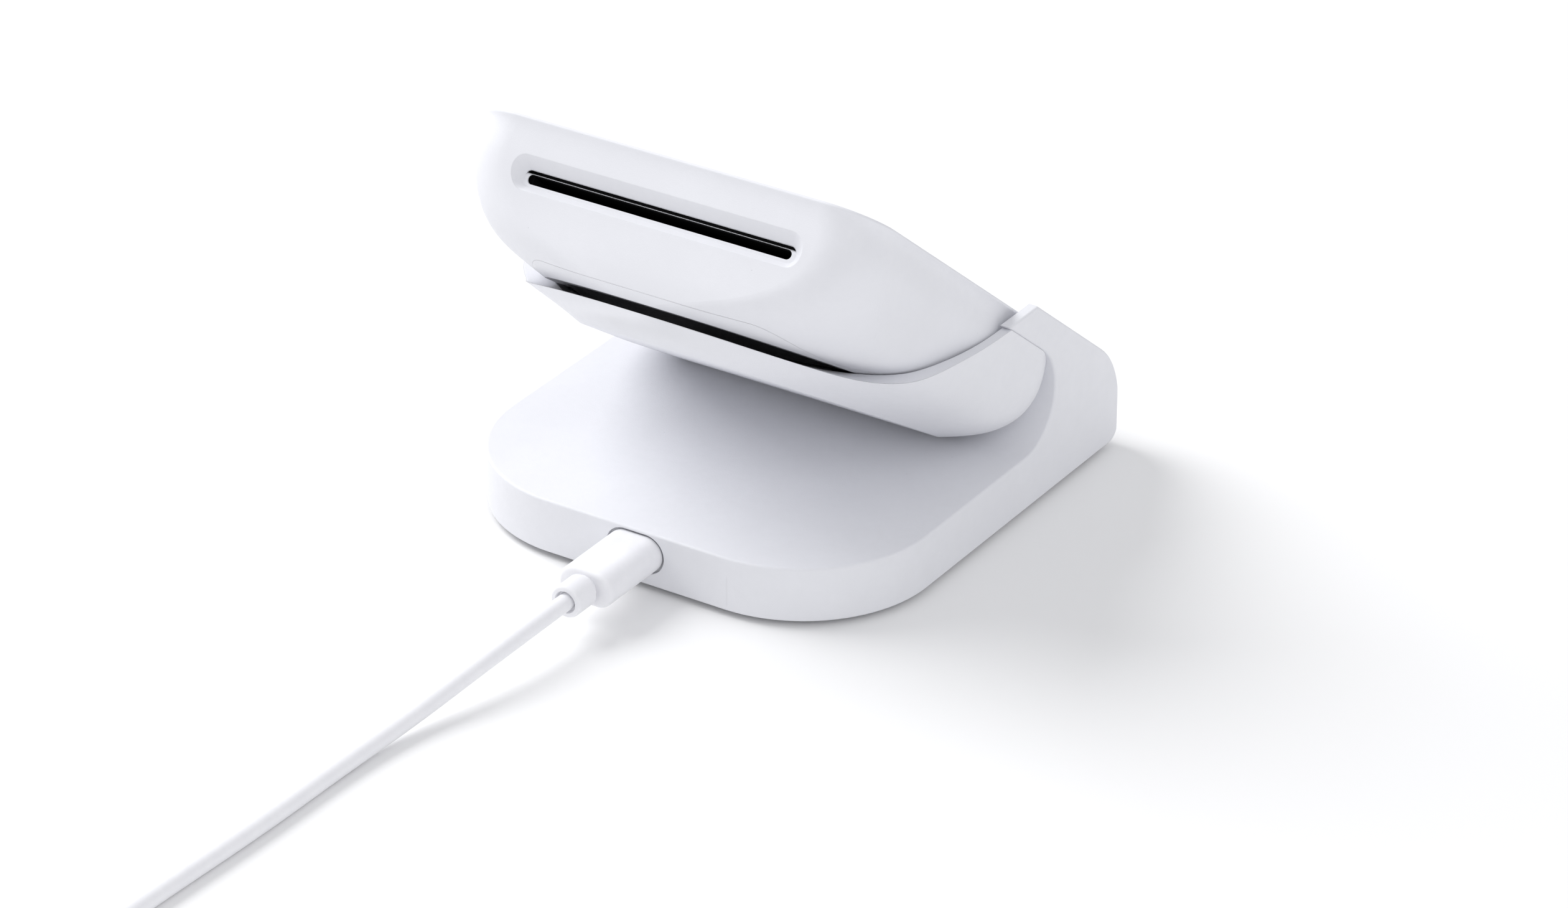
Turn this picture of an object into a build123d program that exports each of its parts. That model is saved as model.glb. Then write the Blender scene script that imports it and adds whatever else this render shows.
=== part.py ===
"""Countertop card reader lifted from its charging dock, with the dock's charging lead.

Millimetres. +Z up. The origin is the middle of the dock's foot. +Y is the lead
side of the dock, where the reader's card slot is raised; -Y is the low, customer
side, where the dock folds up and over into the sloping cradle. X is left-right.
"""
from build123d import *
import math
import os

os.makedirs("parts", exist_ok=True)

# ------------------------------------------------------------------ driving dimensions
DOCK_W, DOCK_D = 90.4, 94.1          # plan size of the dock slab
DOCK_FRONT_R = 26.2                  # plan corner radius on the lead side
DOCK_REAR_R = 1.0                    # plan corner radius of the folded heel
FOOT_T = 1.2                         # rubber foot, seen as a shadow gap
SLAB_TOP = 12.0
WALL = 2.2
FOLD_R1, FOLD_R2 = 10.0, 12.0        # inside of the fold: two tangent arcs
FOLD_START = -13.3                   # where the fold leaves the slab's top
HEEL_R = 17.5                        # outer rounding of the fold's back
CROWN_Z = 41.7                       # flat crown of the cradle arms
TILT = 39.0                          # reader's top plane against the counter
TOP_Y, TOP_Z = 35.6, 81.4            # raised end of the reader's top plane
READER = 85.2                        # reader is square in plan
READER_DEPTH = 31.0                  # depth under the raised end
WEDGE = 12.68                        # bottom plane closes on the top plane by this angle
FIT = 0.6                            # clearance of reader in cradle
CRADLE_T = 2.5                       # thickness of the cradle bowl
SLOT_DEPTH = 10.2                    # card slot under the top plane
CARD_W, CARD_T = 53.98, 0.76         # payment card
SLOT_W, SLOT_H = 55.5, 1.8
PLUG_Z = 7.5                         # plug axis above the counter
PLUG_W, PLUG_H, PLUG_L = 11.5, 7.0, 15.2
READER_EDGE = 0.0                    # rounding where the reader's floor meets its skirt
CABLE_D = 3.2

HW, HD = DOCK_W / 2, DOCK_D / 2
st, ct = math.sin(math.radians(TILT)), math.cos(math.radians(TILT))

# Reader frame: local X across, local Y up the slope to the slot end, local Z out of the top.
READ = Plane(origin=(0, TOP_Y, TOP_Z), x_dir=(1, 0, 0), z_dir=(0, -st, ct))
# Same frame turned to draw side profiles: local x up the slope, local y out of the top.
SIDE = Plane(origin=(0, TOP_Y, TOP_Z), x_dir=(0, ct, st), z_dir=(1, 0, 0))
bt = math.radians(TILT - WEDGE)
BASE = Plane(
    origin=(0, TOP_Y + READER_DEPTH * st, TOP_Z - READER_DEPTH * ct),
    x_dir=(1, 0, 0),
    z_dir=(0, -math.sin(bt), math.cos(bt)),
)
BASE_SIDE = Plane(origin=BASE.origin, x_dir=BASE.y_dir, z_dir=(1, 0, 0))

# Reader's cross-sections: depth, sides in, slot end in, low end in, corner radius.
SECTIONS = [
    (-3.0, 0.0, -0.6, 0.0, 9.85),
    (0.0, 0.0, 0.0, 0.0, 9.85),
    (6.0, 0.05, 1.8, 0.2, 9.9),
    (12.0, 0.35, 3.2, 0.6, 10.8),
    (17.0, 1.8, 4.3, 1.2, 15.0),
    (20.0, 4.2, 4.9, 1.9, 18.5),
    (22.5, 9.2, 5.6, 2.6, 20.8),
    (24.5, 15.0, 6.4, 3.4, 21.6),
    (26.0, 20.0, 7.4, 4.2, 20.4),
    (27.5, 25.4, 9.0, 5.2, 16.4),
    (29.5, 31.0, 11.5, 7.0, 11.0),
]
# The cradle's outside: a shallower dish round the same form, with a near upright band under its rim.
DISH = [
    (-3.0, -2.4, -2.4, -2.4, 12.2),
    (10.0, -2.3, 1.0, -2.2, 12.8),
    (15.0, -2.0, 2.4, -1.8, 14.2),
    (19.0, -0.9, 3.4, -1.0, 17.5),
    (22.0, 1.6, 4.2, -0.2, 21.0),
    (24.7, 7.0, 5.0, 1.0, 23.4),
    (26.7, 13.0, 5.8, 2.4, 24.2),
    (28.2, 18.0, 6.3, 3.6, 23.4),
    (29.4, 22.2, 6.9, 4.8, 19.6),
    (31.0, 27.4, 9.6, 6.4, 14.6),
    (33.0, 32.4, 15.0, 9.0, 9.8),
]


def row_at(rows, depth):
    for a, b in zip(rows, rows[1:]):
        if depth <= b[0]:
            t = (depth - a[0]) / (b[0] - a[0])
            return [p + (q - p) * t for p, q in zip(a, b)]
    return list(rows[-1])


def bowl(rows, grow, top, floor, edge=0.0, sink=0.0):
    """Closed solid through the rows, grown outwards and sunk, from depth top to the floor plane."""
    depths = [top] + [s[0] + sink for s in rows if s[0] + sink > top + 2.0]
    with BuildPart() as form:
        for depth in depths:
            _, side, high, low, radius = row_at(rows, depth - sink)
            length = READER - high - low + 2 * grow
            with BuildSketch(READ.offset(-depth)):
                with Locations((0, (-high + grow) - length / 2)):
                    RectangleRounded(READER - 2 * side + 2 * grow, length, radius + grow)
        loft()
        split(bisect_by=floor, keep=Keep.TOP)
        if edge:
            base_face = form.faces().sort_by(Axis(floor.origin, floor.z_dir))[0]
            fillet(base_face.edges(), radius=edge)
    return form.part


# Shadow gap round the raised end: the reader's skirt stops at this plane and a smaller pedestal goes on down.
GAP_TILT, GAP_DEPTH = 5.15, 26.1
gt = math.radians(TILT - GAP_TILT)
SKIRT = Plane(
    origin=(0, TOP_Y + GAP_DEPTH * st, TOP_Z - GAP_DEPTH * ct), x_dir=(1, 0, 0),
    z_dir=(0, -math.sin(gt), math.cos(gt)),
)
UNDER_TILT, UNDER_DEPTH = 5.64, 32.3
ut = math.radians(TILT - UNDER_TILT)
UNDER = Plane(
    origin=(0, TOP_Y + UNDER_DEPTH * st, TOP_Z - UNDER_DEPTH * ct), x_dir=(1, 0, 0),
    z_dir=(0, -math.sin(ut), math.cos(ut)),
)


def rebate(inset, lift):
    """Ring of the reader's form below the skirt plane, raised by lift, outside a pedestal set in by inset."""
    with BuildPart() as ring:
        add(bowl(SECTIONS, 1.5, 16.0, BASE.offset(-2.0)))
        split(bisect_by=SKIRT.offset(lift), keep=Keep.BOTTOM)
        add(bowl(SECTIONS, -inset, 12.0, BASE.offset(-3.0)), mode=Mode.SUBTRACT)
    return ring.part


reader_form = bowl(SECTIONS, 0, 0.0, BASE, READER_EDGE)
reader_room = bowl(SECTIONS, FIT, -2.9, BASE.offset(-0.9))
reader_hollow = bowl(SECTIONS, -1.6, 2.2, BASE.offset(2.0), sink=-1.5)
cradle_form = bowl(DISH, 0, -2.9, UNDER)

# ------------------------------------------------------------------ dock: folded shell
a1, a2 = math.radians(80), math.radians(180 - TILT)
p1 = (FOLD_START - FOLD_R1 * math.sin(a1), SLAB_TOP + FOLD_R1 - FOLD_R1 * math.cos(a1))
c2 = (p1[0] + FOLD_R2 * math.sin(a1), p1[1] + FOLD_R2 * math.cos(a1))
p2 = (c2[0] - FOLD_R2 * math.sin(a2), c2[1] - FOLD_R2 * math.cos(a2))
m1 = (FOLD_START - FOLD_R1 * math.sin(a1 / 2), SLAB_TOP + FOLD_R1 - FOLD_R1 * math.cos(a1 / 2))
am = (a1 + a2) / 2
m2 = (c2[0] - FOLD_R2 * math.sin(am), c2[1] - FOLD_R2 * math.cos(am))
crown_in = p2[0] + (CROWN_Z - p2[1]) * ct / st
crown_out = -16.6
slope_end = -HD + 0.2
slope_z = CROWN_Z - (crown_out - slope_end) * st / ct

with BuildPart() as folded_form:
    with BuildSketch(Plane.YZ) as profile:
        with BuildLine():
            Polyline((HD, FOOT_T), (HD, SLAB_TOP), (FOLD_START, SLAB_TOP))
            ThreePointArc((FOLD_START, SLAB_TOP), m1, p1)
            ThreePointArc(p1, m2, p2)
            Polyline(
                p2, (crown_in, CROWN_Z), (crown_out, CROWN_Z), (slope_end, slope_z),
                (slope_end, FOOT_T), (HD, FOOT_T),
            )
        make_face()
        # the sketch's own x is the world's Y and its own y is the world's Z
        fillet(profile.vertices().group_by(Axis.X)[0].sort_by(Axis.Y)[-1], radius=HEEL_R)
        fillet(profile.vertices().group_by(Axis.X)[0].sort_by(Axis.Y)[0], radius=3.0)
    extrude(amount=HW, both=True)
    with BuildSketch(Plane.XY) as plan:
        Rectangle(DOCK_W, DOCK_D)
        fillet(plan.vertices().group_by(Axis.Y)[-1], radius=DOCK_FRONT_R)
        fillet(plan.vertices().group_by(Axis.Y)[0], radius=DOCK_REAR_R)
    extrude(amount=60, mode=Mode.INTERSECT)

with BuildPart() as dock_shell:
    add(folded_form.part)
    # crisp but eased edges of the visible faces
    eased = dock_shell.edges().filter_by(
        lambda e: e.center().Z > SLAB_TOP - 0.1 and abs(e.center().X) > 0.5
    )
    fillet(eased, radius=0.45)
    # pocket that the reader's low end drops into
    add(reader_room, mode=Mode.SUBTRACT)
    # hollow of the slab, open below
    with BuildSketch(Plane.XY.offset(FOOT_T)) as under:
        Rectangle(DOCK_W - 2 * WALL, DOCK_D - 2 * WALL)
        fillet(under.vertices().group_by(Axis.Y)[-1], radius=DOCK_FRONT_R - WALL)
        fillet(under.vertices().group_by(Axis.Y)[0], radius=3.0)
    extrude(amount=SLAB_TOP - WALL - FOOT_T, mode=Mode.SUBTRACT)
    # hollow of the heel
    with BuildSketch(Plane.YZ):
        with BuildLine():
            Polyline(
                (-44.6, 9.0), (-44.4, 12.0), (-42.2, 16.4), (-39.0, 19.6), (-36.2, 20.6),
                (-30.0, 15.6), (-24.0, 12.0), (-20.0, 9.0), (-44.6, 9.0),
            )
        make_face()
    extrude(amount=HW - WALL, both=True, mode=Mode.SUBTRACT)
    # screw bosses for the bottom plate
    with BuildSketch(Plane.XY.offset(3.2)):
        with Locations((-32, 30), (32, 30)):
            Circle(3.2)
    extrude(amount=SLAB_TOP - WALL - 3.2 + 0.4)
    with BuildSketch(Plane.XY.offset(3.2)):
        with Locations((-38, -34), (38, -34)):
            Circle(3.2)
    extrude(amount=17.2)
    with BuildSketch(Plane.XY.offset(3.2)):
        with Locations((-32, 30), (32, 30), (-38, -34), (38, -34)):
            Circle(1.0)
    extrude(amount=5.5, mode=Mode.SUBTRACT)
    # recess and port for the plug
    with BuildSketch(Plane(origin=(0, HD + 1, PLUG_Z), x_dir=(1, 0, 0), z_dir=(0, -1, 0))):
        SlotOverall(PLUG_W + 0.9, PLUG_H + 0.9)
    extrude(amount=1.9, mode=Mode.SUBTRACT)
    with BuildSketch(Plane(origin=(0, HD + 1, PLUG_Z), x_dir=(1, 0, 0), z_dir=(0, -1, 0))):
        SlotOverall(9.4, 3.62)
    extrude(amount=5, mode=Mode.SUBTRACT)
    # way for the ribbon from the cradle into the heel
    with BuildSketch(BASE_SIDE):
        with Locations((-86, -1.6)):
            Rectangle(24, 1.2)
    extrude(amount=4.6, both=True, mode=Mode.SUBTRACT)
    # two counterbored holes for the cradle's screws
    with BuildSketch(Plane(origin=BASE.origin - BASE.y_dir * 79.0 - BASE.z_dir * 2.15, x_dir=(1, 0, 0), z_dir=-BASE.y_dir)):
        with Locations((-20, 0), (20, 0)):
            Circle(0.95)
    extrude(amount=12, mode=Mode.SUBTRACT)
    with BuildSketch(Plane(origin=BASE.origin - BASE.y_dir * 90.5 - BASE.z_dir * 2.15, x_dir=(1, 0, 0), z_dir=-BASE.y_dir)):
        with Locations((-20, 0), (20, 0)):
            Circle(2.0)
    extrude(amount=7.0, mode=Mode.SUBTRACT)
dock_shell.part.label = "dock_shell"

# ------------------------------------------------------------------ dock: cradle bowl under the reader
with BuildPart() as cradle:
    add(cradle_form)
    add(reader_room, mode=Mode.SUBTRACT)
    # everything above the rim line, drawn from the side: bevelled at the lead side, then sweeping up to the crown
    with BuildSketch(SIDE):
        with BuildLine():
            Spline((-2.0, -27.6), (-13.3, -26.7), (-22.0, -25.8), (-29.5, -24.5), (-34.4, -22.5), (-38.5, -19.4), (-43.0, -15.9), (-50.0, -11.1), (-58.0, -5.2), (-65.0, 0.9))
            Polyline((-65.0, 0.9), (-100.0, 0.9), (-100.0, 12.0), (20.0, 12.0), (20.0, -27.6), (-2.0, -27.6))
        make_face()
    extrude(amount=60, both=True, mode=Mode.SUBTRACT)
    add(folded_form.part, mode=Mode.SUBTRACT)
    # core taken out between the bowl's floor and its underside, open towards the fold
    with BuildSketch(SIDE):
        with BuildLine():
            Polyline((-46.0, -23.9), (-46.0, -25.4), (-92.0, -21.0), (-92.0, -13.2), (-46.0, -23.9))
        make_face()
    extrude(amount=15.5, both=True, mode=Mode.SUBTRACT)
    # ribbon channel and contact window in the bowl's floor
    with BuildSketch(BASE_SIDE):
        with Locations((-80.0, -1.45)):
            Rectangle(24, 1.5)
    extrude(amount=4.6, both=True, mode=Mode.SUBTRACT)
    with BuildSketch(BASE.offset(-2.8)):
        with Locations((0, -66)):
            RectangleRounded(18.2, 7.2, 1.2)
    extrude(amount=4, mode=Mode.SUBTRACT)
    with BuildSketch(Plane(origin=BASE.origin - BASE.y_dir * 77.0 - BASE.z_dir * 2.15, x_dir=(1, 0, 0), z_dir=-BASE.y_dir)):
        with Locations((-20, 0), (20, 0)):
            Circle(0.85)
    extrude(amount=14, mode=Mode.SUBTRACT)
cradle.part.label = "cradle"
export_step(dock_shell.part, "parts/dock_shell.step")
export_step(cradle.part, "parts/cradle.step")

# ------------------------------------------------------------------ dock: what closes and steadies it
with BuildPart() as bottom_plate:
    with BuildSketch(Plane.XY.offset(FOOT_T)) as plate:
        Rectangle(DOCK_W - 2 * WALL - 0.3, DOCK_D - 2 * WALL - 0.3)
        fillet(plate.vertices().group_by(Axis.Y)[-1], radius=DOCK_FRONT_R - WALL - 0.15)
        fillet(plate.vertices().group_by(Axis.Y)[0], radius=2.9)
    extrude(amount=1.95)
    with BuildSketch(Plane.XY.offset(3.15)):
        with Locations((-16.5, 24), (16.5, 24)):
            Circle(2.4)
    extrude(amount=1.15)
    with BuildSketch(Plane.XY.offset(4.3)):
        with Locations((-16.5, 24), (16.5, 24)):
            Circle(0.75)
    extrude(amount=-2.4, mode=Mode.SUBTRACT)
    with Locations((-32, 30, FOOT_T), (32, 30, FOOT_T), (-38, -34, FOOT_T), (38, -34, FOOT_T)):
        Cylinder(1.15, 6, mode=Mode.SUBTRACT)
        Cylinder(2.3, 1.8, mode=Mode.SUBTRACT)
bottom_plate.part.label = "bottom_plate"
export_step(bottom_plate.part, "parts/bottom_plate.step")

with BuildPart() as bottom_screws:
    with Locations((-32, 30), (32, 30), (-38, -34), (38, -34)):
        with Locations((0, 0, FOOT_T + 0.02)):
            Cylinder(2.1, 0.85, align=(Align.CENTER, Align.CENTER, Align.MIN))
            Cylinder(1.0, 6.4, align=(Align.CENTER, Align.CENTER, Align.MIN))
            Cylinder(0.8, 0.4, align=(Align.CENTER, Align.CENTER, Align.MIN), mode=Mode.SUBTRACT)
bottom_screws.part.label = "bottom_screws"
export_step(bottom_screws.part, "parts/bottom_screws.step")

with BuildPart() as rubber_foot:
    with BuildSketch(Plane.XY) as foot:
        Rectangle(DOCK_W - 6.0, DOCK_D - 8.0)
        fillet(foot.vertices().group_by(Axis.Y)[-1], radius=DOCK_FRONT_R - 3.0)
        fillet(foot.vertices().group_by(Axis.Y)[0], radius=3.0)
    extrude(amount=FOOT_T)
    fillet(rubber_foot.faces().sort_by(Axis.Z)[0].edges(), radius=0.35)
    # shallow channels pressed in the sole
    with BuildSketch(Plane.XY):
        with Locations(*[(0, y) for y in range(-33, 34, 6)]):
            SlotOverall(46, 1.4)
    extrude(amount=0.4, mode=Mode.SUBTRACT)
rubber_foot.part.label = "rubber_foot"
export_step(rubber_foot.part, "parts/rubber_foot.step")

with BuildPart() as ballast_plate:
    with BuildSketch(Plane.XY.offset(3.2)):
        with Locations((0, -12)):
            RectangleRounded(62, 50, 4)
        with Locations((-24, -30), (24, -30), (-24, 6), (24, 6)):
            Circle(1.6, mode=Mode.SUBTRACT)
    extrude(amount=4.0)
    chamfer(ballast_plate.faces().sort_by(Axis.Z)[-1].outer_wire().edges(), length=0.4)
ballast_plate.part.label = "ballast_plate"
export_step(ballast_plate.part, "parts/ballast_plate.step")

with BuildPart() as dock_board:
    with BuildSketch(Plane.XY.offset(4.32)):
        with Locations((0, 32.5)):
            RectangleRounded(40, 23.6, 2)
        with Locations((-16.5, 24), (16.5, 24)):
            Circle(1.0, mode=Mode.SUBTRACT)
    extrude(amount=1.55)
    # regulator, charger chip, inductor and connector on the top of the board
    with BuildSketch(Plane.XY.offset(5.87)):
        with Locations((-12, 33)):
            Rectangle(4, 4)
    extrude(amount=0.9)
    with BuildSketch(Plane.XY.offset(5.87)):
        with Locations((12.5, 34)):
            RectangleRounded(5, 5, 0.8)
    extrude(amount=2.0)
    with BuildSketch(Plane.XY.offset(5.87)):
        with Locations((-13, 40), (-10.5, 40), (-8, 40), (10, 40), (12.4, 40), (-4, 29), (4.5, 29.5), (7, 29.5)):
            Rectangle(1.0, 1.7)
    extrude(amount=0.55)
dock_board.part.label = "dock_board"
export_step(dock_board.part, "parts/dock_board.step")

with BuildPart() as board_screws:
    with Locations((-16.5, 24, 5.9), (16.5, 24, 5.9)):
        Cylinder(1.7, 0.9, align=(Align.CENTER, Align.CENTER, Align.MIN))
        Cylinder(0.7, 3.6, align=(Align.CENTER, Align.CENTER, Align.MAX))
        with Locations((0, 0, 0.5)):
            Cylinder(0.7, 0.5, align=(Align.CENTER, Align.CENTER, Align.MIN), mode=Mode.SUBTRACT)
board_screws.part.label = "board_screws"
export_step(board_screws.part, "parts/board_screws.step")

BACK = Plane(origin=(0, 39.6, PLUG_Z), x_dir=(-1, 0, 0), z_dir=(0, 1, 0))
with BuildPart() as port_shell:
    with BuildSketch(BACK):
        SlotOverall(9.0, 3.2)
    extrude(amount=6.5)
    with BuildSketch(BACK.offset(0.3)):
        SlotOverall(8.46, 2.68)
    extrude(amount=7, mode=Mode.SUBTRACT)
port_shell.part.label = "port_shell"
export_step(port_shell.part, "parts/port_shell.step")

with BuildPart() as port_tongue:
    with BuildSketch(BACK.offset(0.3)):
        SlotOverall(8.46, 2.68)
    extrude(amount=0.95)
    with BuildSketch(BACK.offset(1.2)):
        Rectangle(6.7, 0.7)
    extrude(amount=4.6)
port_tongue.part.label = "port_tongue"
export_step(port_tongue.part, "parts/port_tongue.step")

# ------------------------------------------------------------------ cradle: contacts, pad, ribbon, screws
PIN_X = (-6.0, -2.0, 2.0, 6.0)
with BuildPart() as contact_block:
    with BuildSketch(BASE.offset(-2.8)):
        with Locations((0, -66)):
            RectangleRounded(18.1, 7.1, 1.15)
    extrude(amount=2.3)
    with BuildSketch(BASE.offset(-2.8)):
        with Locations(*[(x, -66) for x in PIN_X]):
            Circle(0.76)
    extrude(amount=3, mode=Mode.SUBTRACT)
contact_block.part.label = "contact_block"
export_step(contact_block.part, "parts/contact_block.step")

with BuildPart() as contact_pins:
    with BuildSketch(BASE.offset(-2.25)):
        with Locations(*[(x, -66) for x in PIN_X]):
            Circle(0.7)
    extrude(amount=2.2)
    chamfer(contact_pins.faces().filter_by(BASE).group_by(Axis(BASE.origin, BASE.z_dir))[-1].edges(), length=0.25)
contact_pins.part.label = "contact_pins"
export_step(contact_pins.part, "parts/contact_pins.step")

with BuildPart() as cradle_pad:
    with BuildSketch(BASE.offset(-0.9)):
        with Locations((0, -54)):
            RectangleRounded(38, 44, 9)
        with Locations((0, -66)):
            RectangleRounded(18.4, 7.4, 1.3, mode=Mode.SUBTRACT)
    extrude(amount=0.5)
cradle_pad.part.label = "cradle_pad"
export_step(cradle_pad.part, "parts/cradle_pad.step")

r0 = BASE.origin - BASE.y_dir * 69.6 - BASE.z_dir * 1.6
r1 = BASE.origin - BASE.y_dir * 93.6 - BASE.z_dir * 1.6
with BuildPart() as contact_ribbon:
    with BuildSketch(Plane.YZ):
        with BuildLine():
            Polyline((r0.Y, r0.Z), (r1.Y, r1.Z), (-30.0, 12.4), (-29.6, 8.6), (-26.0, 7.9), (10.0, 7.9), (17.0, 6.6), (21.6, 6.1), (23.2, 6.1))
        trace(line_width=0.3)
    extrude(amount=4.0, both=True)
contact_ribbon.part.label = "contact_ribbon"
export_step(contact_ribbon.part, "parts/contact_ribbon.step")

SEAT = Plane(origin=BASE.origin - BASE.y_dir * 90.5 - BASE.z_dir * 2.15, x_dir=(1, 0, 0), z_dir=-BASE.y_dir)
with BuildPart() as cradle_screws:
    with BuildSketch(SEAT):
        with Locations((-20, 0), (20, 0)):
            Circle(1.8)
    extrude(amount=1.1)
    with BuildSketch(SEAT):
        with Locations((-20, 0), (20, 0)):
            Circle(0.85)
    extrude(amount=-10.0)
    with BuildSketch(SEAT.offset(1.1)):
        with Locations((-20, 0), (20, 0)):
            RegularPolygon(0.8, 6)
    extrude(amount=-0.6, mode=Mode.SUBTRACT)
cradle_screws.part.label = "cradle_screws"
export_step(cradle_screws.part, "parts/cradle_screws.step")

# ------------------------------------------------------------------ reader: two shells
MOUTH = -4.5                          # slot's inner plane, measured down from the raised end
ACROSS = Plane(origin=BASE.origin + BASE.y_dir * 20, x_dir=(1, 0, 0), z_dir=-BASE.y_dir)
with BuildPart() as under_parting:
    with BuildSketch(ACROSS):
        with BuildLine():
            Polyline((-33.0, 1.3), (-70, 1.3), (-70, -12), (70, -12), (70, 1.3), (33.0, 1.3))
            Bezier((33.0, 1.3), (29.0, 1.3), (27.5, 5.8), (21.5, 5.8))
            Line((21.5, 5.8), (-21.5, 5.8))
            Bezier((-21.5, 5.8), (-27.5, 5.8), (-29.0, 1.3), (-33.0, 1.3))
        make_face()
    extrude(amount=140)

BOSSES = [(-34.5, -53), (34.5, -53), (-33.6, -76), (33.6, -76)]
REBATE = rebate(4.6, 0.0)
WALLED = rebate(6.4, 1.7)
with BuildPart() as hollow:
    add(reader_hollow)
    add(WALLED, mode=Mode.SUBTRACT)
PIPE_X = (-12.0, -4.0, 4.0, 12.0)
CARD = Plane(origin=READ.origin - READ.z_dir * SLOT_DEPTH, x_dir=(1, 0, 0), z_dir=-READ.y_dir)
BUTTON = Plane(origin=READ.origin - READ.y_dir * 30 - READ.z_dir * 14.3, x_dir=READ.y_dir, z_dir=(1, 0, 0))

with BuildPart() as boss_posts:
    with BuildSketch(BASE.offset(2.1)):
        with Locations(*BOSSES):
            Circle(2.6)
    extrude(amount=30)
    add(reader_form, mode=Mode.INTERSECT)
    split(bisect_by=READ.offset(-1.2), keep=Keep.BOTTOM)

with BuildPart() as reader_housing:
    add(reader_form)
    top_edges = reader_housing.faces().sort_by(Axis(READ.origin, READ.z_dir))[-1].edges()
    fillet(top_edges, radius=0.4)
    add(hollow.part, mode=Mode.SUBTRACT)
    add(under_parting.part, mode=Mode.SUBTRACT)
    add(boss_posts.part)
    add(under_parting.part, mode=Mode.SUBTRACT)
    add(REBATE, mode=Mode.SUBTRACT)
    with BuildSketch(BASE.offset(1.0)):
        with Locations(*BOSSES):
            Circle(0.8)
    extrude(amount=8, mode=Mode.SUBTRACT)
    # card slot through the raised end, in a flared mouth
    with BuildSketch(CARD.offset(-0.5 - MOUTH - 4.0)):
        RectangleRounded(66.5, 11.0, 5.2)
    with BuildSketch(CARD.offset(-MOUTH)):
        RectangleRounded(57.2, 2.9, 1.3)
    loft(mode=Mode.SUBTRACT)
    with BuildSketch(CARD):
        SlotOverall(SLOT_W, SLOT_H)
    extrude(amount=9, mode=Mode.SUBTRACT)
    # light windows in the top, power button opening in the side
    with BuildSketch(READ.offset(1)):
        with Locations(*[(x, -14) for x in PIPE_X]):
            Circle(1.02)
    extrude(amount=-6, mode=Mode.SUBTRACT)
    with BuildSketch(BUTTON.offset(36)):
        SlotOverall(10.3, 3.5)
    extrude(amount=10, mode=Mode.SUBTRACT)
reader_housing.part.label = "reader_housing"
export_step(reader_housing.part, "parts/reader_housing.step")

with BuildPart() as reader_bottom:
    add(reader_form)
    add(under_parting.part, mode=Mode.INTERSECT)
    add(hollow.part, mode=Mode.SUBTRACT)
    add(REBATE, mode=Mode.SUBTRACT)
    with BuildSketch(BASE):
        with Locations(*BOSSES):
            Circle(0.95)
    extrude(amount=6, mode=Mode.SUBTRACT)
    with BuildSketch(BASE):
        with Locations(*BOSSES):
            Circle(1.9)
    extrude(amount=1.0, mode=Mode.SUBTRACT)
    with BuildSketch(BASE):
        with Locations(*[(x, -66) for x in PIN_X]):
            Circle(1.3)
    extrude(amount=6, mode=Mode.SUBTRACT)
reader_bottom.part.label = "reader_bottom"
export_step(reader_bottom.part, "parts/reader_bottom.step")

# ------------------------------------------------------------------ reader: what it holds
with BuildPart() as reader_screws:
    with BuildSketch(BASE.offset(0.05)):
        with Locations(*BOSSES):
            Circle(1.7)
    extrude(amount=0.9)
    with BuildSketch(BASE.offset(0.9)):
        with Locations(*BOSSES):
            Circle(0.75)
    extrude(amount=6.0)
    with BuildSketch(BASE.offset(0.05)):
        with Locations(*BOSSES):
            RegularPolygon(0.8, 6)
    extrude(amount=0.5, mode=Mode.SUBTRACT)
reader_screws.part.label = "reader_screws"
export_step(reader_screws.part, "parts/reader_screws.step")

with BuildPart() as charge_pads:
    with BuildSketch(BASE):
        with Locations(*[(x, -66) for x in PIN_X]):
            Circle(1.28)
    extrude(amount=2.6)
charge_pads.part.label = "charge_pads"
export_step(charge_pads.part, "parts/charge_pads.step")

# card guide: two decks with a channel that takes the card's short edge
with BuildPart() as card_guide:
    with BuildSketch(CARD.offset(-MOUTH + 1.7)):
        with Locations((0, 0.1)):
            RectangleRounded(59.4, 4.4, 0.8)
    extrude(amount=49.2)
    with BuildSketch(CARD.offset(-MOUTH + 1.6)):
        Rectangle(CARD_W + 0.7, 1.15)
    extrude(amount=47.5, mode=Mode.SUBTRACT)
    with BuildSketch(CARD.offset(-MOUTH + 1.6)):
        Rectangle(CARD_W + 1.2, SLOT_H)
    with BuildSketch(CARD.offset(-MOUTH + 4.2)):
        Rectangle(CARD_W + 0.7, 1.15)
    loft(mode=Mode.SUBTRACT)
    # window for the contacts in the lower deck
    with BuildSketch(READ.offset(-SLOT_DEPTH - 0.3)):
        with Locations((0, -34)):
            Rectangle(13.2, 12.2)
    extrude(amount=-3, mode=Mode.SUBTRACT)
card_guide.part.label = "card_guide"
export_step(card_guide.part, "parts/card_guide.step")

CONTACTS = [(x, y) for x in (-4.2, -1.4, 1.4, 4.2) for y in (-30.6, -37.4)]
with BuildPart() as contact_carrier:
    with BuildSketch(READ.offset(-SLOT_DEPTH - 2.15)):
        with Locations((0, -34)):
            RectangleRounded(18, 16, 1)
    extrude(amount=-2.6)
    with BuildSketch(READ.offset(-SLOT_DEPTH - 0.75)):
        with Locations((0, -34)):
            Rectangle(13.0, 12.0)
    extrude(amount=-1.5)
    with BuildSketch(READ.offset(-SLOT_DEPTH - 0.7)):
        with Locations(*CONTACTS):
            Rectangle(1.3, 3.6)
    extrude(amount=-3.4, mode=Mode.SUBTRACT)
contact_carrier.part.label = "contact_carrier"
export_step(contact_carrier.part, "parts/contact_carrier.step")

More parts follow.
